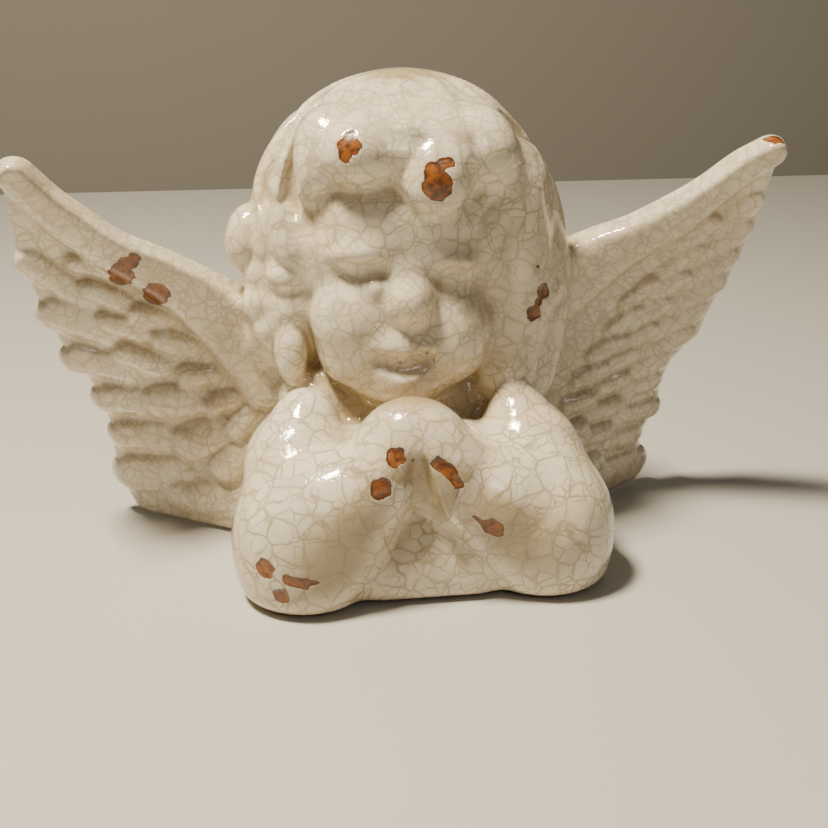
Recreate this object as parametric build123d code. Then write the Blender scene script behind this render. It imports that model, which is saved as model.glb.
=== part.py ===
"""Praying cherub bust with wings: a crackle-glazed earthenware figurine on four felt pads.

The body is slip-cast in seven pieces that are luted together before firing: a hollow torso, a
hollow head, two arms, a pair of joined hands and two wings. All sizes are in millimetres. X runs
across the wings, the figure faces -Y, and Z = 0 is the surface that it stands on. Left and right
are the figure's own, so its left side is at +X.
"""

import os

from build123d import *

# Overall size
SPAN = 284.0  # across the wing tips
DEPTH = 126.0  # from the right elbow to the back of the head
HEIGHT = 184.0
FRONT = -DEPTH / 2
BACK = DEPTH / 2

# Felt pads and the ceramic's foot
PAD_HEIGHT = 1.0
PAD_RADIUS = 6.0
PAD_PLACES = [(-41.0, -33.0), (41.0, -33.0), (-30.0, 20.0), (30.0, 20.0)]
FOOT = PAD_HEIGHT

# Casting
TORSO_WALL = 5.0
HEAD_WALL = 6.0
VENT_RADIUS = 6.0
VENT_Y = -8.0
NECK_HOLE_RADIUS = 13.0

# Torso: (height, centre y, half width, half depth) of each oval, from the foot to the neck. Low
# down, the chest comes forward to fill the space between the forearms.
TORSO_OVALS = [
    (FOOT, -9.0, 53.0, 47.0),
    (24.0, -8.0, 50.0, 45.0),
    (46.0, 3.0, 45.0, 33.0),
    (67.0, 12.0, 30.0, 23.0),
    (82.0, 12.0, 20.0, 18.0),
]

# Rounds of the left arm as (x, y, z, radius), and the pairs of them that a tapered limb joins. The
# right arm is its mirror image, moved a little.
ELBOW_RADIUS = 24.0
ARM_ROUNDS = {
    "shoulder": (41.0, -14.0, 58.0, 11.5),
    "upper": (44.0, -19.0, 43.0, 20.5),
    "elbow": (47.0, -37.0, 24.0, ELBOW_RADIUS),
    "foot": (48.0, -36.0, 11.0, 24.5),
    "flank": (49.0, -8.0, 14.0, 22.0),
    "forearm": (27.0, -41.0, 36.0, 19.0),
    "wrist": (13.0, -42.0, 46.0, 13.5),
    "underside": (32.0, -41.0, 21.0, 18.5),
}
RIGHT_ARM_SHIFT = (3.0, FRONT + ELBOW_RADIUS - ARM_ROUNDS["elbow"][1], 1.0)
ARM_LIMBS = [
    ("shoulder", "upper"),
    ("upper", "elbow"),
    ("elbow", "foot"),
    ("foot", "flank"),
    ("elbow", "forearm"),
    ("forearm", "wrist"),
    ("wrist", "underside"),
]

# Joined hands: the round at the heel of each palm, the round that the fingers end in, and the dome
# that the fingers make together
HEELS = [(-16.0, -43.0, 43.0, 13.0), (9.5, -43.0, 43.0, 13.0)]
FINGERTIPS = (-3.5, -41.0, 61.0, 12.5)
DOME = ((-3.5, -38.0, 60.0), (19.0, 14.0, 14.5))

# Head: centre and half sizes of each rounded mass
SKULL = ((2.0, BACK - 38.5, 122.0), (58.5, 38.5, HEIGHT - 122.0))
FACE = ((-1.5, 5.0, 101.0), (35.5, 25.0, 39.0))
FACE_MASSES = [
    ((-1.0, 2.0, 128.0), (33.0, 21.0, 23.0)),  # forehead
    ((-21.0, -5.0, 94.0), (15.0, 15.0, 20.0)),  # right cheek
    ((16.0, -5.0, 94.0), (15.0, 15.0, 20.0)),  # left cheek
    ((-16.5, -1.0, 80.0), (17.0, 16.0, 14.0)),  # right jowl
    ((13.5, -1.0, 80.0), (17.0, 16.0, 14.0)),  # left jowl
    ((-3.0, -6.0, 73.0), (18.0, 14.5, 9.0)),  # chin
    ((-1.0, -17.0, 105.0), (8.5, 8.5, 9.5)),  # nose
    ((-3.0, -14.0, 88.5), (11.5, 9.0, 7.0)),  # upper lip
    ((-4.0, -14.0, 75.5), (10.0, 8.0, 5.5)),  # lower lip
]
HAIR_MASSES = [
    ((0.0, 3.0, 160.0), (34.0, 20.0, 14.0)),  # fringe
    ((-19.0, -5.0, 156.0), (12.0, 13.0, 13.0)),  # right forelock
    ((9.5, -7.0, 148.0), (12.5, 14.0, 16.0)),  # left forelock
    ((28.0, -2.0, 155.0), (10.5, 11.5, 12.0)),  # wave beside it
    ((44.0, 8.0, 130.0), (13.0, 15.0, 32.0)),  # left-hand waves, inner and outer
    ((42.0, 4.0, 88.0), (11.5, 13.0, 32.0)),
    ((54.5, 13.0, 110.0), (13.0, 13.0, 34.0)),
    ((51.5, 11.0, 82.0), (13.5, 13.0, 26.0)),
]
RIGHT_CURLS = [  # x, y, z and radius of each, from the top down
    (-57.0, 17.0, 121.5, 10.5),
    (-49.0, 10.0, 127.0, 12.0),
    (-43.0, 5.0, 110.0, 11.5),
    (-51.0, 12.0, 95.0, 11.5),
    (-43.0, 4.0, 80.0, 9.5),
]

# Wings, as upright blade sections from the root to the tip, for a wing at +X. Each section is
# (x, y of the foot, y of the leading edge, height of the leading edge's top).
LEFT_WING = [
    (38.0, 2.0, 30.0, 96.0),
    (66.0, 15.0, 24.0, 113.0),
    (87.0, 28.0, 18.0, 126.0),
    (108.0, 42.0, 10.0, 137.0),
    (125.0, 50.0, 3.0, 151.0),
    (SPAN / 2, 54.0, -4.0, 160.0),
]
RIGHT_WING = [
    (38.0, 2.0, 30.0, 90.0),
    (66.0, 15.0, 24.0, 105.0),
    (87.0, 28.0, 18.0, 116.0),
    (108.0, 42.0, 10.0, 131.0),
    (125.0, 50.0, 3.0, 147.0),
    (SPAN / 2, 54.0, -4.0, 157.0),
]
LEADING_THICK = 14.0
TRAILING_THICK = 7.0
BLADE_SAG = 6.0  # how far the middle of the blade lies behind its two edges

# Outer edge of each wing seen from the front, from its corner at the foot: every feather's tip and
# the notch above it
LEFT_EDGE = ((108.0, FOOT), [
    ((114.5, 11.0), (111.0, 20.0)),
    ((111.8, 26.0), (111.0, 31.5)),
    ((118.0, 38.5), (115.0, 46.0)),
    ((117.2, 52.0), (116.0, 57.0)),
    ((121.0, 62.5), (120.5, 67.5)),
    ((128.0, 73.5), (128.0, 79.0)),
    ((132.0, 85.0), (131.5, 90.5)),
    ((136.0, 97.0), (135.0, 103.0)),
    ((138.5, 109.0), (137.5, 115.0)),
    ((140.3, 121.5), (139.0, 127.0)),
    ((141.5, 134.0), (140.0, 141.0)),
    ((141.9, 151.0), (139.0, 162.0)),
])
RIGHT_EDGE = ((106.0, FOOT), [
    ((118.0, 18.0), (115.0, 29.0)),
    ((118.5, 38.0), (116.0, 46.0)),
    ((123.3, 55.0), (122.5, 63.0)),
    ((133.0, 74.0), (131.5, 83.0)),
    ((139.0, 95.0), (137.0, 104.0)),
    ((141.8, 117.0), (140.0, 128.0)),
    ((141.8, 146.0), (139.0, 160.0)),
])


def ellipsoid(centre, half_sizes):
    """A closed ellipsoid about a centre."""
    return Pos(*centre) * scale(Sphere(1.0), by=half_sizes)


def ball(place):
    """A sphere, from its x, y, z and radius."""
    return Pos(*place[:3]) * Sphere(place[3])


def limb(start, end):
    """A tapered limb with round ends: two spheres and the cone tangent to both."""
    a, b = Vector(*start[:3]), Vector(*end[:3])
    start_radius, end_radius = start[3], end[3]
    axis = b - a
    length = axis.length
    slope = (start_radius - end_radius) / length
    flat = (1 - slope**2) ** 0.5
    cone_plane = Plane(origin=a + axis * (start_radius * slope / length), z_dir=axis)
    cone_height = length + (end_radius - start_radius) * slope
    cone = Cone(
        start_radius * flat,
        end_radius * flat,
        cone_height,
        align=(Align.CENTER, Align.CENTER, Align.MIN),
    )
    return ball(start) + ball(end) + cone_plane * cone


def joined(shapes):
    """The union of several shapes."""
    total = shapes[0]
    for shape in shapes[1:]:
        total += shape
    return total


def above_foot(shape):
    """The shape with everything below the foot plane cut away."""
    reach = 2 * SPAN
    ground = Pos(0, 0, FOOT) * Box(
        reach, reach, reach, align=(Align.CENTER, Align.CENTER, Align.MAX)
    )
    return shape - ground


def torso_block(inset=0.0):
    """The torso as a loft of ovals, each pulled in by the inset."""
    sections = [
        Plane(origin=(0, y, z)) * Ellipse(half_width - inset, half_depth - inset)
        for z, y, half_width, half_depth in TORSO_OVALS
    ]
    return loft(sections)


def make_torso():
    """The hollow torso with its closed floor, vent hole and open neck."""
    cavity = torso_block(TORSO_WALL)
    floor = Pos(0, 0, FOOT) * Box(
        SPAN, SPAN, TORSO_WALL, align=(Align.CENTER, Align.CENTER, Align.MIN)
    )
    vent = Pos(0, VENT_Y, FOOT) * Cylinder(VENT_RADIUS, 3 * TORSO_WALL)
    return torso_block() - (cavity - floor) - vent


def make_arm():
    """The left arm: shoulder, upper arm, elbow planted on its foot, flank and forearm."""
    return joined([limb(ARM_ROUNDS[start], ARM_ROUNDS[end]) for start, end in ARM_LIMBS])


def make_hands():
    """Both hands pressed together below the chin, cast as one piece."""
    palms = [limb(heel, FINGERTIPS) for heel in HEELS]
    return joined([*palms, ellipsoid(*DOME)])


def head_masses(inset=0.0):
    """Skull with hair, and face, each pulled in by the inset."""
    masses = [
        ellipsoid(centre, tuple(size - inset for size in half_sizes))
        for centre, half_sizes in (SKULL, FACE)
    ]
    return joined(masses)


def make_head():
    """The hollow head with its face and hair and an open neck."""
    face = [ellipsoid(*mass) for mass in FACE_MASSES]
    hair = [ellipsoid(*mass) for mass in HAIR_MASSES]
    curls = [ball(curl) for curl in RIGHT_CURLS]
    head = joined([head_masses(), *face, *hair, *curls])
    neck_height, neck_y = TORSO_OVALS[-1][:2]
    neck_hole = Pos(0, neck_y, neck_height) * Cylinder(NECK_HOLE_RADIUS, 4 * HEAD_WALL)
    return head - head_masses(HEAD_WALL) - neck_hole


def blade_section(x, foot_y, lead_y, top):
    """One upright section of a wing: thin at the foot, thick and round at the leading edge."""
    half_lead, half_trail = LEADING_THICK / 2, TRAILING_THICK / 2
    nose = top - half_lead
    middle_y = (foot_y + lead_y) / 2 + BLADE_SAG
    middle_z = (FOOT + nose) / 2
    front = Spline(
        (foot_y - half_trail, FOOT),
        (middle_y - half_trail, middle_z),
        (lead_y - half_lead, nose),
    )
    round_nose = ThreePointArc((lead_y - half_lead, nose), (lead_y, top), (lead_y + half_lead, nose))
    rear = Spline(
        (lead_y + half_lead, nose),
        (middle_y + half_trail, middle_z),
        (foot_y + half_trail, FOOT),
    )
    foot = Line((foot_y + half_trail, FOOT), (foot_y - half_trail, FOOT))
    plane = Plane(origin=(x, 0, 0), x_dir=(0, 1, 0), z_dir=(1, 0, 0))
    return plane * make_face([front, round_nose, rear, foot])


def wing_outline(foot_corner, feathers):
    """The wing's outer edge seen from the front: a row of rounded feather tips."""
    edges = []
    start = foot_corner
    for tip, notch in feathers:
        edges.append(ThreePointArc(start, tip, notch))
        start = notch
    high = 2 * HEIGHT
    edges.append(Polyline(start, (start[0], high), (0, high), (0, FOOT), foot_corner))
    return make_face(edges)


def make_wing(sections, edge):
    """One wing at +X: its blade, lofted from root to tip and cut to the outline of its feathers."""
    blade = loft([blade_section(*section) for section in sections])
    cutter = extrude(Plane.XZ * wing_outline(*edge), amount=DEPTH, both=True)
    return blade & cutter


def make_pads():
    """The four felt pads, as separate solids of one part."""
    return [
        Pos(x, y, 0)
        * Cylinder(PAD_RADIUS, PAD_HEIGHT, align=(Align.CENTER, Align.CENTER, Align.MIN))
        for x, y in PAD_PLACES
    ]


def largest(shape):
    """The shape's largest solid, without slivers left over by a cut."""
    return max(shape.solids(), key=lambda solid: solid.volume)


def main():
    solid_torso = torso_block()
    hands = make_hands() - solid_torso
    arm = make_arm()
    left_arm = largest(above_foot(arm) - solid_torso - hands)
    other_arm = Pos(*RIGHT_ARM_SHIFT) * mirror(arm, about=Plane.YZ)
    right_arm = largest(above_foot(other_arm) - solid_torso - hands - left_arm)
    solid_head = head_masses()
    head = largest(make_head() - solid_torso - left_arm - right_arm - hands)
    neighbours = solid_torso + left_arm + right_arm + solid_head + head
    left_wing = largest(make_wing(LEFT_WING, LEFT_EDGE) - neighbours)
    mirrored = mirror(make_wing(RIGHT_WING, RIGHT_EDGE), about=Plane.YZ)
    right_wing = largest(mirrored - neighbours)
    parts = {
        "torso": largest(make_torso()),
        "head": head,
        "left_arm": left_arm,
        "right_arm": right_arm,
        "joined_hands": hands,
        "left_wing": left_wing,
        "right_wing": right_wing,
        "felt_pads": Compound(children=make_pads()),
    }
    os.makedirs("parts", exist_ok=True)
    for name, shape in parts.items():
        export_step(shape, f"parts/{name}.step")
    solids = [solid for part in parts.values() for solid in part.solids()]
    box = Compound(children=solids).bounding_box()
    print("low corner", box.min, "high corner", box.max)


main()
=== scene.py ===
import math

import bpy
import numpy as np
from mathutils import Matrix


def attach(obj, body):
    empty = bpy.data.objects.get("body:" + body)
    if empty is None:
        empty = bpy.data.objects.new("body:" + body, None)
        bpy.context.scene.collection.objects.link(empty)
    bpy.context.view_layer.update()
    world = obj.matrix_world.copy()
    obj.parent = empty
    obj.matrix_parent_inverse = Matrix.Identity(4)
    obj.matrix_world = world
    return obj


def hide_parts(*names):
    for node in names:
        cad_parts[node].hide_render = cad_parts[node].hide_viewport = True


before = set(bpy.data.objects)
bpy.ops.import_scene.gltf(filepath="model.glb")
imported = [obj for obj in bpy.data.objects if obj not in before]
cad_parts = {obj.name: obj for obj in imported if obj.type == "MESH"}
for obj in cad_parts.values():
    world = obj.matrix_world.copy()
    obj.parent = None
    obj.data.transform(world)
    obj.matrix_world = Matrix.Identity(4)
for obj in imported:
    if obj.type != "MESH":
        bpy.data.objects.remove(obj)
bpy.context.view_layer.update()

# A praying cherub bust with wings, in crackle-glazed earthenware. Each casting is sculpted as a
# distance field in millimetres, turned into a closed mesh, and then glazed. X runs across the
# wings, the figure faces -Y, and its own left side is at +X.

import openvdb
from mathutils import Matrix, Vector

MM = 0.001
FAR = 40.0  # distance, in mm, given to every point that a shape doesn't reach
REACH = 7.0  # how far outside its own box a shape's distance is worked out

FOOT = 1.0  # height of the glazed body above the table, on its felt pads
FOOT_ROUNDING = 4.5  # softness of the edge between the foot's flat underside and the sides
SEAM_LAP = 0.15  # castings run into each other by this much, so that no joint shows through the glaze


# ---------------------------------------------------------------- shapes as distances


def blend_min(a, b, softness):
    """The union of two distance fields, with a rounded valley between them."""
    near = np.maximum(softness - np.abs(a - b), 0) / softness
    return np.minimum(a, b) - near * near * softness / 4


def blend_max(a, b, softness):
    """The overlap of two distance fields, with a rounded edge between them."""
    return -blend_min(-a, -b, softness)


def smooth_step(value, low, high):
    t = np.clip((value - low) / (high - low), 0, 1)
    return t * t * (3 - 2 * t)


class Shape:
    """A distance function with the box that the shape fits in."""

    def __init__(self, low, high, distance):
        self.low = np.array(low, float)
        self.high = np.array(high, float)
        self.distance = distance


def ellipsoid(centre, radii, turn=(0, 0, 0)):
    """An ellipsoid, turned by degrees about X, then Y, then Z."""
    rotation = np.eye(3)
    for axis, degrees in zip("XYZ", turn):
        rotation = np.array(Matrix.Rotation(math.radians(degrees), 3, axis)) @ rotation
    centre, radii = np.array(centre, float), np.array(radii, float)
    half = np.sqrt(((rotation * radii) ** 2).sum(axis=1))

    def distance(x, y, z):
        offsets = (x - centre[0], y - centre[1], z - centre[2])
        scaled = near = 0
        for column, radius in zip(rotation.T, radii):
            along = sum(offset * part for offset, part in zip(offsets, column))
            scaled = scaled + (along / radius) ** 2
            near = near + (along / radius**2) ** 2
        scaled = np.sqrt(scaled)
        return scaled * (scaled - 1) / np.sqrt(np.maximum(near, 1e-9))

    return Shape(centre - half, centre + half, distance)


def limb(start, start_radius, end, end_radius):
    """A tapered rod with round ends."""
    start, end = np.array(start, float), np.array(end, float)
    axis = end - start
    length_squared = float(axis @ axis)

    def distance(x, y, z):
        dx, dy, dz = x - start[0], y - start[1], z - start[2]
        t = np.clip((dx * axis[0] + dy * axis[1] + dz * axis[2]) / length_squared, 0, 1)
        gap = (dx - t * axis[0]) ** 2 + (dy - t * axis[1]) ** 2 + (dz - t * axis[2]) ** 2
        return np.sqrt(gap) - (start_radius + t * (end_radius - start_radius))

    low = np.minimum(start - start_radius, end - end_radius)
    high = np.maximum(start + start_radius, end + end_radius)
    return Shape(low, high, distance)


def curve_points(points, steps=4):
    """A smooth curve through rows of numbers, such as x, y, z and radius."""
    points = np.array(points, float)
    padded = np.vstack([2 * points[0] - points[1], points, 2 * points[-1] - points[-2]])
    rows = []
    for a, b, c, d in zip(padded, padded[1:], padded[2:], padded[3:]):
        slope, bend, twist = c - a, 2 * a - 5 * b + 4 * c - d, 3 * b - a - 3 * c + d
        for t in np.arange(steps) / steps:
            rows.append(0.5 * (2 * b + slope * t + bend * t**2 + twist * t**3))
    rows.append(points[-1])
    return np.array(rows)


def rope(points, steps=4):
    """Tapered rods along a smooth curve through rows of x, y, z and radius."""
    rows = curve_points(points, steps)
    return [limb(a[:3], a[3], b[:3], b[3]) for a, b in zip(rows, rows[1:])]


class Grid:
    """A block of points at an even spacing."""

    def __init__(self, low, high, spacing):
        self.low = np.array(low, float)
        self.spacing = spacing
        counts = np.ceil((np.array(high, float) - self.low) / spacing).astype(int) + 1
        self.axes = [self.low[i] + spacing * np.arange(counts[i]) for i in range(3)]
        self.shape = tuple(counts)

    def window(self, low, high):
        """Slices of the block that cover a box, and the coordinates there."""
        slices = tuple(
            slice(*np.searchsorted(axis, (a, b))) for axis, a, b in zip(self.axes, low, high)
        )
        x, y, z = (axis[s].astype(np.float32) for axis, s in zip(self.axes, slices))
        return slices, (x[:, None, None], y[None, :, None], z[None, None, :])

    def coordinates(self):
        return self.window((-1e9,) * 3, (1e9,) * 3)[1]


class Clay:
    """A distance field on a grid, built up by adding and carving shapes."""

    def __init__(self, grid):
        self.grid = grid
        self.values = np.full(grid.shape, FAR, np.float32)

    def apply(self, shape, combine):
        slices, (x, y, z) = self.grid.window(shape.low - REACH, shape.high + REACH)
        part = self.values[slices]
        if part.size:
            self.values[slices] = combine(part, shape.distance(x, y, z).astype(np.float32))

    def add(self, shapes, softness):
        for shape in shapes if isinstance(shapes, list) else [shapes]:
            self.apply(shape, lambda old, new: blend_min(old, new, softness))

    def carve(self, shapes, softness):
        for shape in shapes if isinstance(shapes, list) else [shapes]:
            self.apply(shape, lambda old, new: blend_max(old, -new, softness))

    def raise_by(self, amount):
        """Moves the surface outwards by an amount for each point."""
        self.values -= np.where(self.values < FAR, amount, 0).astype(np.float32)


# ---------------------------------------------------------------- head

SKULL = ((2, 24, 122), (58.5, 38.5, 61.2))


def on_skull(longitude, latitude, lift=0.0):
    """A point on the skull: longitude 0 faces forward and 90 is the figure's left."""
    centre, radii = np.array(SKULL[0], float), np.array(SKULL[1], float)
    a, b = math.radians(longitude), math.radians(latitude)
    direction = np.array([math.cos(b) * math.sin(a), -math.cos(b) * math.cos(a), math.sin(b)])
    normal = direction / radii
    return centre + radii * direction + lift * normal / np.linalg.norm(normal)


def lock(path):
    """A lock of hair that lies on the skull. The path has longitude, latitude, lift and radius."""
    return rope([(*on_skull(lon, lat, lift), radius) for lon, lat, lift, radius in path])


def hair_relief(x, y, z):
    """Shallow strands that fan out from the crown over the whole head."""
    (cx, cy, cz), (rx, ry, rz) = SKULL
    dx, dy, dz = (x - cx) / rx, (y - cy - 4) / ry, (z - cz) / rz
    around = np.arctan2(dx, -dy)
    down = np.arctan2(np.sqrt(dx**2 + dy**2), dz)
    wave = 0.35 * np.sin(3.1 * down + 1.3 * np.sin(2 * around)) + 0.16 * np.sin(9 * down + 2 * around)
    strands = np.sin(15 * (around + wave) + 0.8 * np.sin(5 * around))
    finer = np.sin(31 * (around + 0.8 * wave) + 1.0)
    fade = smooth_step(down, 0.12, 0.6)
    return fade * (0.6 * strands + 0.25 * finer)


def sculpt_hair(grid):
    """Combed hair with two forelocks, curls on the right-hand side and long waves on the left."""
    x, y, z = grid.coordinates()
    hair = Clay(grid)
    hair.add(ellipsoid(*SKULL), 1)
    hair.add(ellipsoid((0, 3, 160), (34, 20, 14), (6, 0, 0)), 12)
    hair.add(limb((39, 10, 140), 17, (45, 14, 96), 20.5), 6)
    hair.add(limb((-36, 14, 138), 16, (-43, 17, 84), 16), 6)
    hair.raise_by(hair_relief(x, y, z))
    # Fringe: two round forelocks and a flatter wave beside them
    hair.add(ellipsoid((-17.5, -8, 156.5), (14, 12.5, 12)), 4)
    hair.add(ellipsoid((-3, -9, 157), (10, 9, 8)), 4)
    hair.add(rope([(14, -4, 158, 11), (12, -8, 152, 12), (9, -11, 146, 13)]), 4)
    hair.add(rope([(27, -1, 161, 9.5), (29, -4, 154, 10.5)]), 5)
    hair.carve(rope([(-33, -13, 150, 1.6), (-20, -18, 142, 2.4), (-7, -18, 142, 2.2)]), 4)
    hair.carve(rope([(-6, -18, 142, 2), (-1, -20, 134.5, 2.2), (9, -21, 130, 2.2), (20, -18, 135, 2)]), 4)
    hair.carve(rope([(20, -17, 152, 1.2), (22.5, -16.5, 144, 1.8), (21, -16, 137, 1.8)]), 4)
    # Right-hand side (at -X): wavy locks, then curls
    hair.add(lock([(-98, 45, -5.6, 6), (-84, 30, -5.4, 6), (-78, 15, -5, 6), (-72, 6, -4.5, 5)]), 3)
    hair.add(lock([(-66, 47, -4, 5.5), (-61, 30, -3.6, 5.5), (-59, 17, -3.6, 5.5), (-53, 8, -4, 5)]), 3)
    hair.add(lock([(-54, 50, -4, 5.5), (-47, 34, -3.6, 5.5), (-44, 22, -3.6, 5.5), (-42, 13, -4, 5)]), 3)
    hair.carve(lock([(-82, 50, 1, 2.2), (-71, 35, 0.6, 2.4), (-68, 19, 0.6, 2.4), (-61, 10, 0.6, 2.2)]), 3)
    hair.carve(lock([(-62, 52, 1, 2), (-55, 36, 0.6, 2.2), (-52, 20, 0.6, 2.4), (-50, 12, 0.6, 2.2)]), 3)
    hair.add(rope([(-28, 4, 164, 7), (-30, 1, 156, 7), (-31, -1, 148, 6)]), 5)
    hair.carve(ellipsoid((-35.5, -11, 134), (5.5, 9, 9)), 5)
    hair.add(ellipsoid((-58.5, 19, 122), (8, 11, 13), (0, 10, 0)), 2.5)
    hair.add(ellipsoid((-51.5, 12.5, 124), (5.5, 9, 12), (0, 8, 0)), 2)
    hair.add(ellipsoid((-54, 15, 109), (6.5, 9, 9)), 3)
    hair.add(rope([(-45, 5, 133, 5.5), (-44, 4, 126, 6), (-41.5, 3, 120.5, 7.5)]), 2)
    hair.add(ellipsoid((-44, 5, 110.5), (8, 8, 7)), 2)
    hair.add(ellipsoid((-55, 11, 98), (6.5, 8, 8)), 2.5)
    hair.add(ellipsoid((-51.5, 9, 89), (6.5, 8, 8)), 2.5)
    hair.add(ellipsoid((-43.5, 3, 81), (6.5, 8, 13)), 1.5)
    hair.add(ellipsoid((-42.5, 6, 98), (8, 8, 9)), 3)
    # Left-hand side (at +X): long smooth waves
    hair.add(ellipsoid((36, 2, 104), (7, 9, 34)), 5)
    inner = [
        (39, 4, 150, 9),
        (42, 3, 134, 9.5),
        (42, 2, 114, 10),
        (42, 2, 96, 10),
        (40, 2, 80, 10),
        (38, 0, 66, 10),
    ]
    outer = [
        (44, 14, 150, 9),
        (51, 13, 132, 10),
        (54.5, 12, 112, 11),
        (54, 12, 92, 12),
        (50, 9, 74, 12),
        (47, 6, 64, 11),
    ]
    crease = [(62, 44, 1, 2), (74, 30, 0.8, 2.4), (80, 15, 0.8, 2.4), (74, 0, 3, 2.4), (68, -14, 5, 2.4)]
    hair.add(rope(inner), 6)
    hair.add(rope(outer), 3)
    hair.carve(lock(crease), 4)
    return hair


def sculpt_face(grid):
    """A chubby child's face, with closed eyes, a round nose and a small mouth."""
    face = Clay(grid)
    face.add(ellipsoid((-1.5, 6, 101), (34.5, 23.5, 38)), 1)
    face.add(ellipsoid((-1, 2, 130), (32, 20, 20)), 8)
    face.add(ellipsoid((-17, -7.5, 122), (13, 10, 5), (0, -6, 0)), 6)
    face.add(ellipsoid((14.5, -7, 118.5), (12, 10, 5), (0, 8, 0)), 6)
    # Cheeks: the eyes are the soft hollows between them and the brows
    face.add(ellipsoid((-21, -5.5, 95), (15, 14.2, 16), (0, 6, 0)), 6)
    face.add(ellipsoid((17.5, -5.5, 91), (14.5, 13.7, 15), (0, -6, 0)), 6)
    for side in (-1, 1):
        face.add(ellipsoid((-1.5 + side * 15, -2, 80.5), (16.5, 15.8, 13)), 6)
    face.carve(ellipsoid((-18.5, -22, 115), (10, 6, 3.4), (0, 4, 0)), 5)
    face.carve(ellipsoid((-12.5, -20.5, 114.6), (4.6, 5.5, 3.6)), 4)
    face.carve(ellipsoid((16.5, -20.5, 110.8), (9.5, 6, 3.6), (0, 8, 0)), 5)
    face.carve(ellipsoid((12.5, -20.5, 111), (4.6, 5.5, 3.8)), 4)
    face.add(ellipsoid((-12.5, -12, 109), (4.6, 5.8, 4)), 3)
    # Nose, lips and chin
    face.add(ellipsoid((-0.8, -12, 112), (7, 7, 9)), 4)
    face.add(ellipsoid((-0.6, -16, 104), (8.6, 8.8, 9)), 4)
    face.add(ellipsoid((-2.4, -9.5, 86), (15, 11.8, 9)), 7)
    face.add(ellipsoid((-3.6, -11.5, 76), (10, 9, 5.5)), 6)
    face.add(ellipsoid((-3, -6, 70.5), (17, 13.5, 8)), 6)
    face.carve(rope([(-13, -19.8, 82.8, 1), (-3.6, -22.4, 80.2, 1.4), (6, -19.8, 82.8, 1)]), 5)
    return face


def sculpt_head(grid):
    head = Clay(grid)
    head.values = blend_min(sculpt_hair(grid).values, sculpt_face(grid).values, 2.5)
    return head


# ---------------------------------------------------------------- torso, arms and hands


def sculpt_torso(grid):
    """The chest block between the forearms, a yoke across the shoulders, the back and the neck."""
    torso = Clay(grid)
    torso.add(limb((-14, -31, 8), 23.5, (18, -31, 8), 23.5), 1)
    torso.add(ellipsoid((0, -29, 17), (20, 23, 24)), 6)
    torso.add(limb((-34, -2, 16), 24, (34, -2, 16), 24), 8)
    torso.add(ellipsoid((1, 10, 34), (44, 28, 40)), 8)
    torso.add(limb((-34, 10, 60), 15, (36, 10, 60), 15), 6)
    torso.add(limb((-19, -20, 44), 14, (19, -20, 44), 14), 6)
    torso.add(limb((0, 8, 60), 20, (0, 8, 78), 20), 6)
    return torso


# Rods of each arm: shoulder, upper arm, elbow, its foot on the table, flank, forearm, wrist and the
# underside of the forearm, as x, y, z and radius
ARM_JOINTS = {
    "right_arm": [
        (-39.5, -14, 60, 11.5),
        (-42, -19, 45, 20),
        (-42, -36, 25, 24),
        (-42, -37, 13, 24),
        (-43, -8, 15, 22),
        (-29, -40, 36, 18.5),
        (-17, -42, 46, 14),
        (-31, -40, 20, 19),
    ],
    "left_arm": [
        (41, -14, 58.5, 11),
        (44, -19, 43, 20.5),
        (47, -35, 24, 24),
        (47.5, -34.5, 12, 24.5),
        (48.5, -8, 14, 22),
        (27, -40, 36, 18.5),
        (12, -42, 46, 13),
        (32, -41, 22, 18),
    ],
}


def sculpt_arm(grid, name):
    """Shoulder, upper arm, elbow planted on the table, and forearm."""
    shoulder, upper, elbow, foot, flank, fore, wrist, under = ARM_JOINTS[name]
    arm = Clay(grid)
    for start, end, softness in (
        (shoulder, upper, 1),
        (upper, elbow, 6),
        (elbow, foot, 6),
        (foot, flank, 8),
        (elbow, fore, 8),
        (fore, wrist, 8),
        (wrist, under, 5),
    ):
        arm.add(limb(start[:3], start[3], end[:3], end[3]), softness)
    return arm


def sculpt_hands(grid):
    """Two mittened hands that meet in a dome under the chin."""
    hands = Clay(grid)
    hands.add(rope([(-16, -42, 42, 13), (-13, -42, 52, 13), (-6, -40, 61, 12.5)]), 1)
    hands.add(rope([(9, -42, 42, 13), (7, -42, 52, 13), (-1, -40, 61, 12.5)]), 4)
    hands.add(ellipsoid((-3.5, -38, 59), (19, 13, 14)), 4)
    return hands


def sculpt_groove(grid):
    """The hollow that runs down between the hands and the forearms."""
    groove = Clay(grid)
    top = [(-2.7, -54, 56, 2.8), (-2.2, -55, 48, 4)]
    bottom = [(-1, -55.5, 38, 4.8), (0.5, -56.5, 29, 6), (2, -61, 20, 6)]
    groove.add(rope(top + bottom), 1)
    return groove


# ---------------------------------------------------------------- wings

# Stations from root to tip: distance from the middle, y at the foot, y at the leading edge, and
# height of the leading edge's top
WING_STATIONS = {
    "left_wing": [
        (38, 2, 30, 96),
        (66, 15, 24, 113),
        (87, 28, 18, 126),
        (108, 42, 10, 137),
        (125, 50, 3, 151),
        (142, 54, -4, 160),
    ],
    "right_wing": [
        (38, 2, 30, 90),
        (66, 15, 24, 105),
        (87, 28, 18, 116),
        (108, 42, 10, 131),
        (125, 50, 3, 147),
        (142, 54, -4, 157),
    ],
}
BLADE_SAG = 6.0
BLADE_THICK = 6.0

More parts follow.
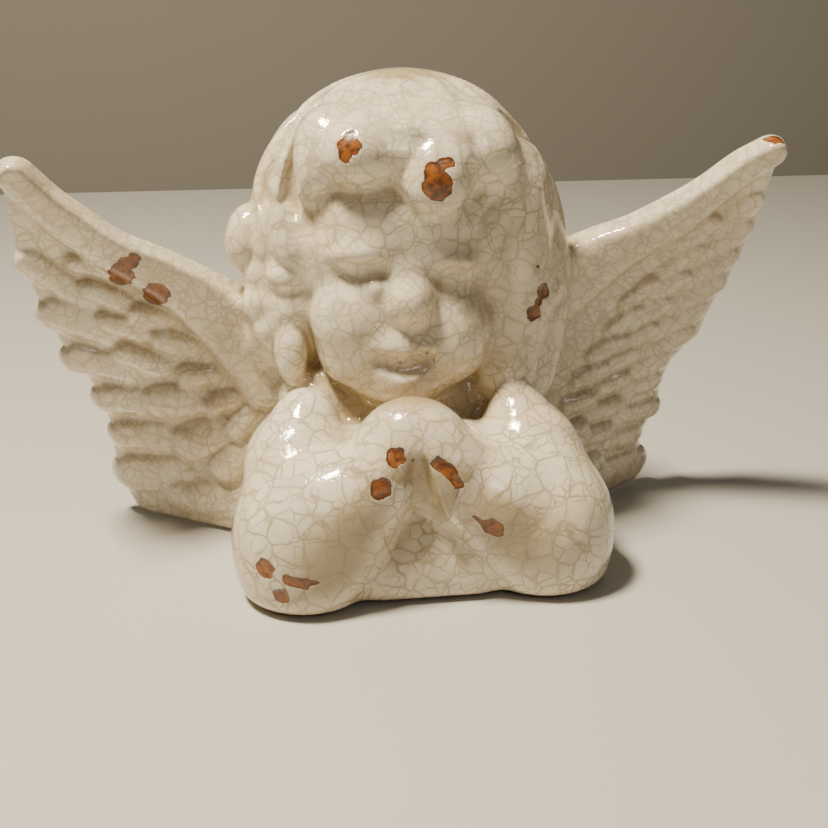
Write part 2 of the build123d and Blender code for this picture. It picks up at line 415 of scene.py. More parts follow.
# The leading edge's flattened roll: distance from the middle, height and radius
WING_BANDS = {
    "left_wing": [
        (136, 153, 6.2),
        (128, 147, 6.5),
        (119, 138, 7),
        (108, 128, 8.5),
        (94, 118.5, 9),
        (82, 111, 11.5),
        (71, 103, 13.5),
        (58, 92, 15),
    ],
    "right_wing": [
        (136, 150.5, 6.5),
        (129, 141, 6.8),
        (121, 132, 7.8),
        (108, 120.5, 8),
        (94, 111.5, 9.2),
        (82, 102.5, 10.5),
        (70.5, 92, 12.5),
        (60, 79, 13.5),
        (53, 64, 12),
    ],
}
BAND_HEIGHT = 6.5
EDGE_GROWTH = 1.3  # outlines are grown by this much, to make up for their rounding

# Corners of the thin sheet that the feathers lie on, as distance from the middle and height
WING_SHEETS = {
    "left_wing": [
        (50, -8), (50, 96), (84, 108), (108, 126), (124, 142), (138, 152), (140.5, 148), (140.3, 137),
        (140, 123), (138, 110), (136, 100), (131.5, 86), (129, 72), (119, 61), (115.5, 50), (116, 37),
        (109.5, 27), (109.5, 19), (112.5, 10), (107, -8),
    ],
    "right_wing": [
        (50, -8), (50, 90), (80, 100), (106, 118), (124, 134), (136, 149), (140.5, 146), (140.7, 134),
        (140.7, 120), (137, 103), (131.5, 82), (121.5, 61.5), (116.5, 44.5), (116, 28), (112, 10),
        (104, -8),
    ],
}

# Rows of feathers: their height, then each one's tip and root as distance from the middle, height
# and radius
WING_FEATHERS = {
    "left_wing": [
        (2.0, [
            ((136.5, 133, 4.5), (126, 121, 3.5)),
            ((135.5, 121, 4.8), (124, 109, 3.5)),
            ((133.5, 108.5, 4.8), (121, 98, 3.5)),
            ((131, 96.5, 5), (118, 87, 3.5)),
            ((126, 84.5, 5), (113, 76, 3.5)),
            ((123, 73, 5), (110, 66, 3.5)),
            ((114, 62, 5), (101, 57, 3.5)),
            ((111.5, 51.5, 5), (98, 48.5, 3.5)),
            ((112.5, 38, 5.4), (98, 37, 4)),
            ((105.5, 26, 5), (92, 26, 4)),
            ((106.5, 11.5, 8), (88, 12, 6)),
        ]),
        (2.9, [
            ((122, 124, 4.5), (112, 113, 4)),
            ((118, 112, 4.5), (107, 102, 4)),
            ((115, 100, 4.6), (103, 91, 4)),
            ((110, 88.5, 4.6), (98, 80.5, 4)),
            ((106, 77, 4.6), (94, 70, 4)),
            ((99, 66, 4.6), (87, 60.5, 4)),
            ((96, 54.5, 4.6), (84, 51, 4)),
            ((94, 43, 4.6), (82, 41, 4)),
            ((90, 31.5, 4.6), (79, 30.5, 4)),
            ((84, 17, 6), (72, 17, 5)),
        ]),
        (3.4, [
            ((103, 98, 4), (94, 89, 4)),
            ((98, 85.5, 4), (89, 77, 4)),
            ((91.5, 73, 4), (82, 66.5, 4)),
            ((86, 61, 4), (76, 56.5, 4)),
            ((82, 48.5, 4), (72, 45.5, 4)),
            ((78.5, 36, 4), (69, 34, 4)),
        ]),
    ],
    "right_wing": [
        (3.3, [
            ((137, 116, 6), (119, 98.5, 5)),
            ((131.5, 94, 7.6), (112, 85, 6)),
            ((126, 73.5, 7), (108, 68.5, 5.5)),
            ((116.5, 55, 6.8), (102, 54, 6)),
            ((111.5, 38.3, 6.8), (96, 39, 6)),
            ((109.5, 20, 8.8), (91, 22, 8)),
            ((90, 13, 7.5), (70, 13, 7)),
        ]),
        (4.9, [
            ((121, 116, 4), (110, 112, 4)),
            ((117, 104.5, 5), (106, 98, 5)),
            ((112.5, 90.5, 5.2), (101, 85.5, 5)),
            ((107.5, 76, 5.5), (95, 69.5, 5)),
            ((95, 54.5, 7.8), (82, 56, 7)),
            ((84, 37, 8.2), (74, 43, 7)),
            ((72, 27.5, 6), (64, 35, 5)),
        ]),
        (4.7, [
            ((101, 94, 4.5), (92, 90, 4)),
            ((92.5, 82, 5), (82, 78, 4)),
            ((84, 66, 5), (75, 66, 4)),
            ((76, 53.5, 4.5), (67, 56, 4)),
            ((66.5, 43.5, 4.5), (60, 50, 4)),
        ]),
    ],
}


def flat_limb(across, up, start, end, start_radius, end_radius):
    """Distance in the plane of a wing to a tapered bar with round ends, and how far along it is."""
    ax, az = end[0] - start[0], end[1] - start[1]
    dx, dz = across - start[0], up - start[1]
    t = np.clip((dx * ax + dz * az) / (ax * ax + az * az), 0, 1)
    gap = np.hypot(dx - t * ax, dz - t * az)
    return gap - (start_radius + t * (end_radius - start_radius)), t


def soften(values, passes):
    """Rounds off a relief by averaging each point with its neighbours."""
    for _ in range(passes):
        for axis in (0, 1):
            values = (np.roll(values, 1, axis) + 2 * values + np.roll(values, -1, axis)) / 4
    return values


def wing_middle(name, across, up):
    """The y of the middle of a wing's blade."""
    stations = np.array(WING_STATIONS[name], float)
    foot_y, lead_y, top = (np.interp(across, stations[:, 0], stations[:, i]) for i in (1, 2, 3))
    t = np.clip((up - FOOT) / (top - 7 - FOOT), 0, 1.15)
    return foot_y + (lead_y - foot_y) * t + BLADE_SAG * 4 * t * (1 - t)


def polygon_distance(across, up, corners):
    """Distance in the plane of a wing to a polygon, negative inside it."""
    nearest, inside = FAR, False
    for (ax, az), (bx, bz) in zip(corners, corners[1:] + corners[:1]):
        edge = flat_limb(across, up, (ax, az), (bx, bz), 0, 0)[0]
        nearest = np.minimum(nearest, edge)
        crossing = ax + (up - az) * (bx - ax) / (bz - az + 1e-9)
        inside = inside ^ (((az <= up) != (bz <= up)) & (across < crossing))
    return np.where(inside, -nearest, nearest)


def pillow(edge, radius, fullness=2.5):
    """A rise from 0 at a bar's edge to 1 along its middle."""
    return (1 - np.clip(1 + edge / radius, 0, 1) ** fullness) ** 0.5


def wing_relief(name, across, up):
    """Height of the feathers and leading edge on a wing's face, and distance to its outline."""
    relief = np.zeros(across.shape)
    outline = polygon_distance(across, up, WING_SHEETS[name])
    for height, feathers in WING_FEATHERS[name]:
        for tip, root in feathers:
            edge, t = flat_limb(across, up, tip[:2], root[:2], tip[2], root[2])
            outline = np.minimum(outline, edge)
            relief = np.maximum(relief, height * pillow(edge, tip[2]) * (1 - 0.55 * t))
    band = np.full(across.shape, FAR)
    stations = curve_points(WING_BANDS[name])
    for start, end in zip(stations, stations[1:]):
        edge, t = flat_limb(across, up, start[:2], end[:2], start[2], end[2])
        band = np.minimum(band, edge / (start[2] + t * (end[2] - start[2])))
        outline = np.minimum(outline, edge)
    relief = np.maximum(relief, BAND_HEIGHT * pillow(band, 1.0, 4.0))
    return relief, outline


def sculpt_wing(grid, name):
    """A curved blade with a rolled leading edge and rows of feathers."""
    side = 1 if name == "left_wing" else -1
    x, y, z = grid.coordinates()
    across, up = np.broadcast_arrays(side * x[:, 0, :], z[:, 0, :])
    middle = wing_middle(name, across, up)
    relief, outline = wing_relief(name, across, up)
    relief = soften(relief, 2)
    slope = np.sqrt(1 + sum(g**2 for g in np.gradient(middle, grid.spacing)))
    front = (middle - BLADE_THICK / 2 - relief)[:, None, :]
    back = (middle + BLADE_THICK / 2 + 0.4 * relief)[:, None, :]
    blade = np.maximum(front - y, y - back) / slope[:, None, :]
    wing = Clay(grid)
    rim = (outline - EDGE_GROWTH)[:, None, :]
    wing.values = np.minimum(blend_max(blade, rim, 5), FAR).astype(np.float32)
    return wing


# ---------------------------------------------------------------- chips in the glaze

# Each chip is a stroke of x, y, z and radius, on the surface
CHIPS = [
    # left and right forelocks
    [(-20.6, -17, 164.3, 2.2), (-23.6, -18.2, 160.3, 2.7), (-23.2, -19.3, 157.1, 2.2)],
    [(-20.2, -19.4, 160.2, 2.6)],
    [(8, -25, 147, 5.6)],
    [(5.5, -23.6, 152.8, 2.4), (12.8, -22.6, 155, 1.9)],
    # hair on the left-hand side
    [(51.2, -7.4, 103.8, 3.2), (51.6, -1, 102.2, 3.2)],
    [(51.2, -7.4, 103.8, 1.6), (47.4, -9.9, 96.2, 1.6)],
    [(47.4, -9.9, 96.2, 3.1), (47.8, -4, 94.6, 3.1)],
    [(48.5, -9.3, 113.6, 1.0)],
    # right wing: these reach back over the rim of the leading edge
    [(-104.5, 6.4, 112.4, 4.8), (-105, 13, 110.8, 4.8)],
    [(-103.6, 5.4, 116, 3.4), (-100, 4.4, 118, 3.0)],
    [(-92.6, 10.3, 103.9, 5.0), (-93.1, 17, 102.2, 5.0)],
    # left wing: tip and lower edge
    [(136.8, -10.5, 158, 3.0), (133.4, -8.4, 159.4, 1.2)],
    [(112.3, 39, 13.1, 2.3), (113, 41.4, 7.6, 2.2)],
    [(118.2, 39.4, 42, 1.5), (118.2, 40.3, 37.5, 1.5)],
    # hands
    [(-10.7, -54.4, 58.9, 3.6)],
    [(-16.4, -57.9, 48.7, 4.0)],
    [(3.2, -56.3, 56.6, 2.1), (7.3, -57.2, 54, 2.1), (10.8, -57.6, 48.8, 2.1)],
    # left forearm
    [(22, -59.5, 32.4, 3.2), (24.4, -59.8, 31, 2.9)],
    [(20, -59, 33.5, 1.0), (16.6, -58.2, 36.2, 0.7)],
    # right elbow
    [(-57.7, -58.5, 21.1, 3.8)],
    [(-49.8, -62.5, 18, 2.4), (-44, -63.4, 16.7, 2.1)],
    [(-43, -63.4, 16.5, 1.0), (-39.6, -63.3, 17, 0.7)],
    [(-52.5, -60.9, 11.2, 3.3)],
]
CHIP_DEPTH = 0.4  # thickness of the glaze that is missing, in mm
CHIP_RIM = 0.6  # width of the slope down from the glaze to the clay


def chip_edge(x, y, z):
    """Wobble that makes the chips' outlines ragged."""
    return 0.4 * np.sin(0.9 * x + 1.3 * z) + 0.2 * np.sin(2.1 * z - 1.8 * y + 1.6 * x)


def sculpt_chips(grid):
    """Distance to the nearest chip in the glaze, negative inside it."""
    chips = Clay(grid)
    for stroke in CHIPS:
        if len(stroke) == 1:
            x, y, z, radius = stroke[0]
            chips.add(ellipsoid((x, y, z), (radius,) * 3), 0.5)
        else:
            chips.add([limb(a[:3], a[3], b[:3], b[3]) for a, b in zip(stroke, stroke[1:])], 0.5)
    chips.values = chips.values + chip_edge(*grid.coordinates()).astype(np.float32)
    return chips.values


# ---------------------------------------------------------------- from clay to meshes

SCULPTORS = {
    "torso": sculpt_torso,
    "head": sculpt_head,
    "left_arm": lambda grid: sculpt_arm(grid, "left_arm"),
    "right_arm": lambda grid: sculpt_arm(grid, "right_arm"),
    "joined_hands": sculpt_hands,
    "left_wing": lambda grid: sculpt_wing(grid, "left_wing"),
    "right_wing": lambda grid: sculpt_wing(grid, "right_wing"),
}

# The box that each casting fits in and the spacing of its grid
CASTINGS = {
    "torso": ((-60, -60, -1), (60, 40, 92), 1.0),
    "head": ((-72, -32, 50), (72, 64, 187), 0.8),
    "left_arm": ((0, -64, -1), (76, 20, 76), 0.7),
    "right_arm": ((-72, -64, -1), (2, 20, 76), 0.7),
    "joined_hands": ((-34, -58, 24), (26, -20, 77), 0.5),
    "left_wing": ((30, -16, -1), (146, 64, 165), 0.65),
    "right_wing": ((-146, -16, -1), (-30, 64, 165), 0.65),
}

# Neighbours whose shapes decide where a casting ends
NEIGHBOURS = {
    "torso": ("head", "left_arm", "right_arm", "joined_hands", "left_wing", "right_wing"),
    "head": ("torso", "left_arm", "right_arm", "joined_hands", "left_wing", "right_wing"),
    "left_arm": ("torso", "head", "joined_hands", "left_wing"),
    "right_arm": ("torso", "head", "joined_hands", "right_wing"),
    "joined_hands": ("torso", "head", "left_arm", "right_arm"),
    "left_wing": ("torso", "head", "left_arm"),
    "right_wing": ("torso", "head", "right_arm"),
}

VENT_RADIUS = 6.0


def sample(values, grid, points):
    """The field at any points, by linear interpolation."""
    places = (points - grid.low) / grid.spacing
    limit = np.array(values.shape) - 2
    corner = np.clip(np.floor(places).astype(int), 0, limit)
    part = np.clip(places - corner, 0, 1)
    total = 0
    for step in np.ndindex(2, 2, 2):
        i, j, k = (corner + step).T
        weight = np.prod(np.where(step, part, 1 - part), axis=1)
        total = total + weight * values[i, j, k]
    return total


def slope_at(values, grid, points):
    """The field's gradient at any points, in distance per mm."""
    half = grid.spacing * 0.6
    return np.stack(
        [
            (sample(values, grid, points + half * axis) - sample(values, grid, points - half * axis))
            / (2 * half)
            for axis in np.eye(3)
        ],
        axis=1,
    )


def settle(points, skin, cut, grid):
    """Moves mesh points exactly onto the skin, the cut face, or the edge where the two meet.

    Each pass is a Newton step of at most half a grid space. The floors under the slopes and under
    the determinant keep it steady where a field is flat or the two surfaces are nearly parallel.
    """
    for _ in range(3):
        a, b = sample(skin, grid, points), sample(cut, grid, points)
        slope_a, slope_b = slope_at(skin, grid, points), slope_at(cut, grid, points)
        aa = np.maximum((slope_a**2).sum(1), 0.05)
        bb = np.maximum((slope_b**2).sum(1), 0.05)
        ab = (slope_a * slope_b).sum(1)
        to_skin = -slope_a * (a / aa)[:, None]
        to_cut = -slope_b * (b / bb)[:, None]
        det = np.maximum(aa * bb - ab**2, 0.15 * aa * bb)
        on_a = (bb * a - ab * b) / det
        on_b = (aa * b - ab * a) / det
        to_edge = -(slope_a * on_a[:, None] + slope_b * on_b[:, None])
        near = 0.75 * grid.spacing
        edge = (np.abs(a) / np.sqrt(aa) < near) & (np.abs(b) / np.sqrt(bb) < near)
        move = np.where(edge[:, None], to_edge, np.where((a > b)[:, None], to_skin, to_cut))
        size = np.linalg.norm(move, axis=1, keepdims=True)
        points = points + move * np.minimum(1, 0.5 * grid.spacing / np.maximum(size, 1e-9))
    return points


# The order in which the castings' shapes are joined, and how softly the glaze fills each joint
JOINTS = {
    "joined_hands": 1.0,
    "left_arm": 6.0,
    "right_arm": 6.0,
    "torso": 5.0,
    "head": 3.0,
    "left_wing": 6.0,
    "right_wing": 6.0,
}


CREASE_REACH = 1.7  # how far around a point, in mm, its narrow creases are measured
HOLLOW_REACH = 6.0  # and its wide hollows
SEAM_TOLERANCE = 0.02  # a face this close to the skin, in mm, still counts as glazed


def joined_fields(name, grid):
    """The whole figure's skin near a casting, the casting's own shape, and its neighbours' shapes."""
    skin = others = np.full(grid.shape, FAR, np.float32)
    for piece, softness in JOINTS.items():
        if piece == name or piece in NEIGHBOURS[name]:
            values = SCULPTORS[piece](grid).values
            skin = blend_min(skin, values, softness)
            if piece == name:
                own = values
            else:
                others = np.minimum(others, values)
    return skin, own, others


def mesh_of(skin, cut, grid):
    """Points and four-cornered faces around whatever lies inside both the skin and the cut."""
    solid = np.maximum(skin, cut)
    solid[[0, -1]] = solid[:, [0, -1]] = solid[:, :, [0, -1]] = FAR
    volume = openvdb.FloatGrid(FAR)
    volume.copyFromArray(np.clip(solid, -FAR, FAR))
    points, faces = volume.convertToQuads(isovalue=0.0)
    points = grid.low + points.astype(float) * grid.spacing
    return settle(points, skin, cut, grid), faces


def cast(name):
    """One casting's mesh: points, faces, which faces are glazed skin, and the marks on its points."""
    low, high, spacing = CASTINGS[name]
    grid = Grid(low, high, spacing)
    skin, own, others = joined_fields(name, grid)
    skin = blend_max(skin, -sculpt_groove(grid).values, 3)
    skin = blend_max(skin, FOOT - grid.coordinates()[2], FOOT_ROUNDING)
    chips = sculpt_chips(grid)
    skin = skin + (CHIP_DEPTH * smooth_step(-chips, 0, CHIP_RIM)).astype(np.float32)
    cut = (own - others) / 2 - SEAM_LAP
    if name == "torso":
        cut = np.maximum(cut, -vent_and_cavity(grid))
    points, faces = mesh_of(skin, cut, grid)
    centres = points[faces].mean(axis=1)
    glazed = sample(skin, grid, centres) > sample(cut, grid, centres) - SEAM_TOLERANCE
    marks = {
        "chip": sample(chips, grid, points),
        "crease": recess(skin, grid, points, CREASE_REACH),
        "hollow": recess(skin, grid, points, HOLLOW_REACH),
    }
    return points, faces[:, ::-1], glazed, marks


def recess(skin, grid, points, reach):
    """How much lower each point lies, in mm, than the skin's average within a reach in mm."""
    step = max(1, int(reach / (2 * grid.spacing)))
    coarse = Grid(grid.low, [axis[-1] for axis in grid.axes], grid.spacing * step)
    average = np.clip(skin[::step, ::step, ::step], -3 * reach, 3 * reach)
    for _ in range(round(2 * (reach / coarse.spacing) ** 2)):
        for axis in range(3):
            average = (np.roll(average, 1, axis) + 2 * average + np.roll(average, -1, axis)) / 4
    return -sample(average, coarse, points)


def vent_and_cavity(grid):
    """The hollow left by slip casting, with the vent hole through the foot."""
    hollow = Clay(grid)
    hollow.add(ellipsoid((0, -4, 34), (36, 30, 27)), 1)
    hollow.add(limb((0, -8, -5), VENT_RADIUS, (0, -8, 20), VENT_RADIUS), 2)
    return hollow.values


def link(name, points, faces):
    """A smooth-shaded mesh object, from points in millimetres."""
    mesh = bpy.data.meshes.new(name)
    mesh.from_pydata([tuple(p) for p in points * MM], [], [tuple(f) for f in faces.tolist()])
    mesh.polygons.foreach_set("use_smooth", [True] * len(faces))
    obj = bpy.data.objects.new(name, mesh)
    bpy.context.collection.objects.link(obj)
    return obj


def mark_seams(mesh, glazed):
    """Makes the edges between the skin and the cut faces sharp."""
    loops = np.empty(len(mesh.loops), int)
    mesh.loops.foreach_get("edge_index", loops)
    sides = np.repeat(glazed.astype(int), 4)
    total = np.zeros(len(mesh.edges), int)
    np.add.at(total, loops, sides)
    count = np.zeros(len(mesh.edges), int)
    np.add.at(count, loops, 1)
    sharp = (total > 0) & (total < count)
    layer = mesh.attributes.new("sharp_edge", "BOOLEAN", "EDGE")
    layer.data.foreach_set("value", sharp)


def make_casting(name):
    """A casting as a Blender object, with its marks stored for the glaze."""
    points, faces, glazed, marks = cast(name)
    obj = link(name, points, faces)
    for mark, values in marks.items():
        layer = obj.data.attributes.new(mark, "FLOAT", "POINT")
        layer.data.foreach_set("value", values.astype(np.float32))
    mark_seams(obj.data, glazed)
    return obj


# ---------------------------------------------------------------- looks


class Nodes:
    """Builds a material's shader. Each method returns an output to plug in further on."""

    def __init__(self, name):
        self.material = bpy.data.materials.new(name)
        self.material.use_nodes = True
        self.tree = self.material.node_tree
        self.shader = self.tree.nodes["Principled BSDF"]

    def plug(self, socket, value):
        if isinstance(value, bpy.types.NodeSocket):
            self.tree.links.new(value, socket)
        elif isinstance(value, tuple) and len(value) == 3 and socket.type == "RGBA":
            socket.default_value = (*value, 1)
        else:
            socket.default_value = value

    def node(self, kind, inputs, output=0, **settings):
        made = self.tree.nodes.new("ShaderNode" + kind)
        for key, value in settings.items():
            setattr(made, key, value)
        for key, value in inputs.items():
            self.plug(made.inputs[key], value)
        return made.outputs[output]

    def place(self):
        return self.node("TexCoord", {}, "Object")

    def height(self):
        """Height above the table, in mm."""
        z = self.node("SeparateXYZ", {0: self.place()}, "Z")
        return self.math("MULTIPLY", z, 1 / MM)

    def mark(self, name):
        return self.node("Attribute", {}, "Fac", attribute_name=name)

    def math(self, operation, a, b=0.0, c=0.0):
        return self.node("Math", {0: a, 1: b, 2: c}, operation=operation)

    def vector(self, operation, a, b, c=(0, 0, 0)):
        return self.node("VectorMath", {0: a, 1: b, 2: c}, operation=operation)

    def ramp(self, value, start, end, low=0.0, high=1.0):
        """Goes smoothly from low to high as the value goes from start to end."""
        inputs = {"Value": value, 1: start, 2: end, 3: low, 4: high}
        return self.node("MapRange", inputs, interpolation_type="SMOOTHSTEP")

    def noise(self, place, size, detail=2.0, output=0):
        inputs = {"Vector": place, "Scale": 1 / (size * MM), "Detail": detail}
        return self.node("TexNoise", inputs, output)

    def mix(self, amount, a, b, blend="MIX"):
        return self.node("Mix", {0: amount, 6: a, 7: b}, 2, data_type="RGBA", blend_type=blend)

    def shake(self, place, size, amount):
        """Places moved about by up to an amount in mm."""
        drift = self.vector("SUBTRACT", self.noise(place, size, 2.0, 1), (0.5, 0.5, 0.5))
        return self.vector("MULTIPLY_ADD", drift, (2 * amount * MM,) * 3, place)

    def finish(self, inputs):
        for key, value in inputs.items():
            self.plug(self.shader.inputs[key], value)
        return self.material


GLAZE_CREAM = (0.73, 0.61, 0.43)
GLAZE_WHITE = (0.80, 0.71, 0.53)
GLAZE_GREY = (0.61, 0.55, 0.42)
# Brown used both as painted shade in creases and hollows and as the real stain that seeps around the
# crackle lines
SHADE_AND_STAIN = (0.36, 0.26, 0.13)
CRACK_BROWN = (0.34, 0.25, 0.13)
CLAY_ORANGE = (0.30, 0.095, 0.012)
CLAY_DARK = (0.09, 0.03, 0.010)
CLAY_BARE = (0.44, 0.17, 0.06)
PINHOLES = [(13.7, -15.3, 106.4), (-11.6, -18.5, 80.2), (-4.4, -51.8, 56.4)]


def crackle(nodes, place, size, width):
    """Lines between the plates of a crackled glaze: 1 in the line, 0 on the plate."""
    inputs = {"Vector": place, "Scale": 1 / (size * MM)}
    gap = nodes.node("TexVoronoi", inputs, "Distance", feature="DISTANCE_TO_EDGE")
    return nodes.ramp(nodes.math("MULTIPLY", gap, size), 0.3 * width, width, 1, 0)


def glaze(name, plate, boldness):
    """Glossy cream glaze, crackled into plates of about a size in mm, with chips down to the clay."""
    nodes = Nodes(name)
    place = nodes.place()
    bent = nodes.shake(nodes.shake(place, 12, 2.6), 2.2, 0.3)

    patches = nodes.ramp(nodes.noise(place, 26, 3), 0.35, 0.65)
    colour = nodes.mix(patches, GLAZE_CREAM, GLAZE_WHITE)
    cool = nodes.ramp(nodes.noise(place, 34, 2), 0.45, 0.75, 0, 0.6)
    colour = nodes.mix(cool, colour, GLAZE_GREY)
    plates = nodes.node("TexVoronoi", {"Vector": bent, "Scale": 1 / (plate * MM)}, "Color")
    shade = nodes.ramp(nodes.node("SeparateColor", {0: plates}, 0), 0, 1, 0.96, 1.03)
    colour = nodes.mix(1.0, colour, nodes.node("CombineColor", {0: shade, 1: shade, 2: shade}), "MULTIPLY")

    # Painted shade: narrow creases are darkened partly for glaze pooled in them and partly as painted
    # shade, and wide hollows, such as under the chin and between the arms, are darkened as painted shade
    pooled_glaze_and_shade = nodes.ramp(nodes.mark("crease"), 0.0, 0.8, 0, 0.45)
    shaded = nodes.ramp(nodes.mark("hollow"), 0.3, 3.0, 0, 0.8)
    colour = nodes.mix(nodes.math("MAXIMUM", pooled_glaze_and_shade, shaded), colour, SHADE_AND_STAIN)

    faint, strong = boldness
    strength = nodes.ramp(nodes.noise(place, 13, 2), 0.3, 0.7, faint, strong)
    broad = crackle(nodes, bent, 1.25 * plate, 0.46)
    halo = nodes.math("MULTIPLY", crackle(nodes, bent, 1.25 * plate, 1.4), 0.12)
    fine_where = nodes.ramp(nodes.noise(place, 9, 2), 0.38, 0.6, 0.1, 0.9 * strong)
    fine = nodes.math("MULTIPLY", crackle(nodes, bent, 0.7 * plate, 0.38), fine_where)
    lines = nodes.math("MAXIMUM", nodes.math("MULTIPLY", broad, strength), fine)
    colour = nodes.mix(halo, colour, SHADE_AND_STAIN)
    colour = nodes.mix(lines, colour, CRACK_BROWN)

    for spot in PINHOLES:
        middle = tuple(v * MM for v in spot)
        away = nodes.node("VectorMath", {0: place, 1: middle}, "Value", operation="DISTANCE")
        hole = nodes.ramp(nodes.math("MULTIPLY", away, 1 / MM), 0.35, 0.75, 1, 0)
        colour = nodes.mix(hole, colour, (0.03, 0.02, 0.012))

    ragged = nodes.math("SUBTRACT", nodes.noise(place, 1.4, 3), 0.5)
    edge = nodes.math("MULTIPLY_ADD", ragged, 0.9, nodes.mark("chip"))
    chipped = nodes.ramp(edge, -0.06, 0.1, 1, 0)
    clay = nodes.mix(nodes.ramp(nodes.noise(place, 2.6, 4), 0.35, 0.7), CLAY_ORANGE, CLAY_DARK)
    clay = nodes.mix(nodes.ramp(edge, -0.75, -0.1, 0, 0.85), clay, CLAY_DARK)
    colour = nodes.mix(chipped, colour, clay)

    bare = nodes.ramp(nodes.height(), FOOT + 0.15, FOOT + 0.5, 1, 0)
    colour = nodes.mix(bare, colour, nodes.mix(nodes.noise(place, 1.5, 5), CLAY_BARE, CLAY_ORANGE))

    orange_peel = nodes.math("MULTIPLY", nodes.noise(place, 5, 2), 0.35)
    ripple = nodes.math("MULTIPLY", nodes.noise(place, 1.6, 2), 0.03)
    relief = nodes.math("ADD", orange_peel, ripple)
    relief = nodes.math("MULTIPLY_ADD", lines, -0.05, relief)
    grit = nodes.math("MULTIPLY", nodes.noise(place, 0.7, 4), 0.15)
    gritty = nodes.math("MAXIMUM", bare, nodes.math("MULTIPLY", chipped, 0.4))
    relief = nodes.math("MULTIPLY_ADD", gritty, grit, relief)
    bump = nodes.node("Bump", {"Height": relief, "Distance": MM, "Strength": 1.0})

    matt = nodes.math("MAXIMUM", nodes.math("MULTIPLY", bare, 0.75), nodes.math("MULTIPLY", chipped, 0.24))
    rough = nodes.math("MULTIPLY_ADD", lines, 0.12, nodes.math("ADD", matt, 0.1))
    return nodes.finish(
        {
            "Base Color": colour,
            "Roughness": rough,
            "IOR": 1.5,
            "Coat Weight": nodes.math("SUBTRACT", 0.5, nodes.math("MULTIPLY", bare, 0.5)),
            "Coat Roughness": 0.04,
            "Normal": bump,
        }
    )


def felt():
    """Dark felt with short tangled fibres."""
    nodes = Nodes("felt")
    place = nodes.shake(nodes.place(), 1.2, 0.5)
    fibres = nodes.noise(place, 0.35, 5)
    clumps = nodes.noise(place, 2.5, 3)
    colour = nodes.mix(fibres, (0.012, 0.02, 0.014), (0.05, 0.075, 0.05))
    colour = nodes.mix(nodes.ramp(clumps, 0.45, 0.7, 0, 0.5), colour, (0.08, 0.10, 0.07))
    bump = nodes.node("Bump", {"Height": nodes.math("MULTIPLY", fibres, 0.2), "Distance": MM})
    return nodes.finish({"Base Color": colour, "Roughness": 0.95, "Sheen Weight": 0.4, "Normal": bump})


# How large each casting's crackle is, in mm, and how dark its lines are where faint and where strong
CRACKLES = {
    "torso": (8.0, (0.35, 0.7)),
    "head": (7.0, (0.25, 0.55)),
    "left_arm": (8.5, (0.4, 0.75)),
    "right_arm": (8.5, (0.4, 0.75)),
    "joined_hands": (7.5, (0.3, 0.65)),
    "left_wing": (5.5, (0.2, 0.5)),
    "right_wing": (5.5, (0.2, 0.5)),
}

for name in CASTINGS:
    piece = make_casting(name)
    piece.data.materials.append(glaze("glaze_" + name, *CRACKLES[name]))
    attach(piece, "root")
    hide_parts(name)


# ---------------------------------------------------------------- felt pads

PAD_PLACES = [(-41, -33), (41, -33), (-30, 20), (30, 20)]
PAD_SECTION = [(5.7, 0), (6.0, 0.25), (6.0, 0.8), (5.8, 1.0)]  # rings of each pad: radius and height
PAD_SIDES = 40


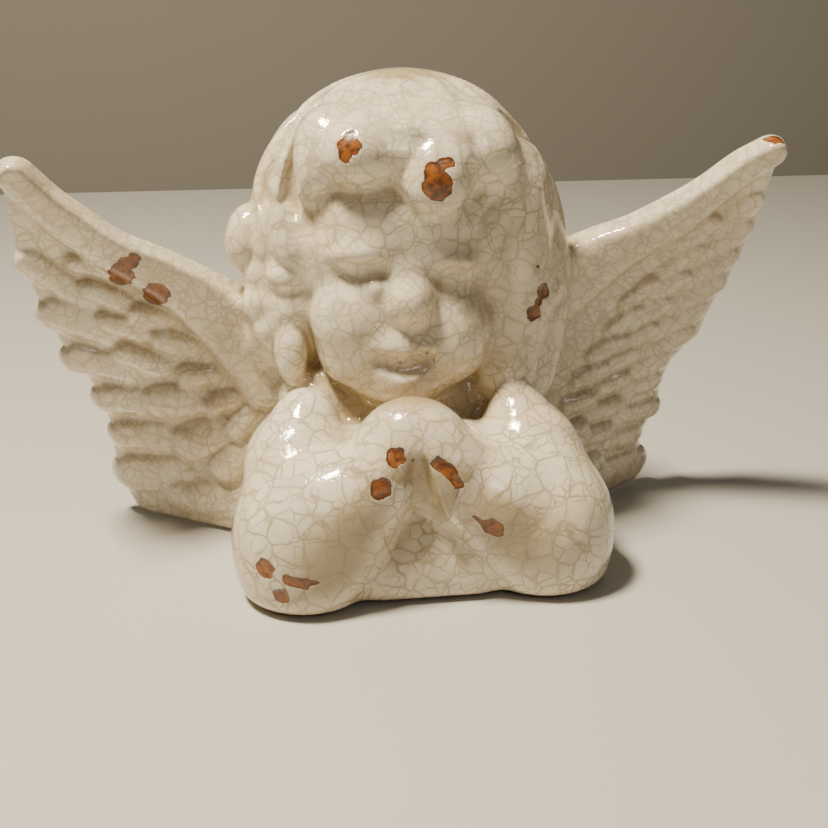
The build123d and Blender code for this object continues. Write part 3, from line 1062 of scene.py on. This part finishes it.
def make_pads():
    """Four soft-edged felt discs that hold the figurine off the table."""
    points, faces = [], []
    for pad_x, pad_y in PAD_PLACES:
        first = len(points)
        for radius, height in PAD_SECTION:
            for i in range(PAD_SIDES):
                angle = 2 * math.pi * i / PAD_SIDES
                reach = radius * (1 + 0.006 * math.sin(7 * angle + pad_x))
                points.append((pad_x + reach * math.cos(angle), pad_y + reach * math.sin(angle), height))
        rings = len(PAD_SECTION)
        for ring in range(rings - 1):
            for i in range(PAD_SIDES):
                a = first + ring * PAD_SIDES
                j = (i + 1) % PAD_SIDES
                faces.append((a + i, a + j, a + PAD_SIDES + j, a + PAD_SIDES + i))
        faces.append(tuple(first + i for i in reversed(range(PAD_SIDES))))
        top = first + (rings - 1) * PAD_SIDES
        faces.append(tuple(top + i for i in range(PAD_SIDES)))
    mesh = bpy.data.meshes.new("felt_pads")
    mesh.from_pydata([tuple(v * MM for v in p) for p in points], [], faces)
    obj = bpy.data.objects.new("felt_pads", mesh)
    bpy.context.collection.objects.link(obj)
    return obj


pads = make_pads()
pads.data.materials.append(felt())
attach(pads, "root")
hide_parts("felt_pads")


# ---------------------------------------------------------------- table, wall, lights and camera



def backdrop(name, place, turn, colour, roughness):
    """A large plain sheet: the pale table top or the wall behind it."""
    bpy.ops.mesh.primitive_plane_add(size=6, location=place, rotation=(turn, 0, 0))
    sheet = bpy.context.object
    sheet.name = name
    sheet.data.materials.append(Nodes(name).finish({"Base Color": colour, "Roughness": roughness}))


backdrop("table", (0, 0, 0), 0, (0.54, 0.52, 0.47), 0.3)
backdrop("wall", (0, 0.85, 0), math.radians(90), (0.18, 0.165, 0.14), 0.9)

world = bpy.data.worlds.new("room")
bpy.context.scene.world = world
world.use_nodes = True
world.node_tree.nodes["Background"].inputs["Color"].default_value = (0.31, 0.31, 0.32, 1)
world.node_tree.nodes["Background"].inputs["Strength"].default_value = 0.2


def area_light(name, place, target, size, power, colour):
    data = bpy.data.lights.new(name, "AREA")
    data.size = size
    data.energy = power
    data.color = colour
    obj = bpy.data.objects.new(name, data)
    obj.location = place
    obj.rotation_euler = (Vector(target) - Vector(place)).to_track_quat("-Z", "Y").to_euler()
    bpy.context.collection.objects.link(obj)


area_light("key", (-0.4, -0.12, 1.12), (0, 0, 0.08), 0.2, 36, (1, 0.89, 0.70))
area_light("fill", (0.3, -1.2, 0.9), (0, 0, 0.08), 0.3, 1.2, (0.92, 0.96, 1))

camera_data = bpy.data.cameras.new("camera")
camera_data.sensor_width = 36
camera_data.lens = 52.17
camera_data.clip_start = 0.01
camera = bpy.data.objects.new("camera", camera_data)
camera.location = (-0.0588, -0.4362, 0.2172)
aim = Vector((0.0056, 0.016, 0.0482)) - camera.location
camera.rotation_euler = aim.to_track_quat("-Z", "Y").to_euler()
bpy.context.collection.objects.link(camera)
bpy.context.scene.camera = camera
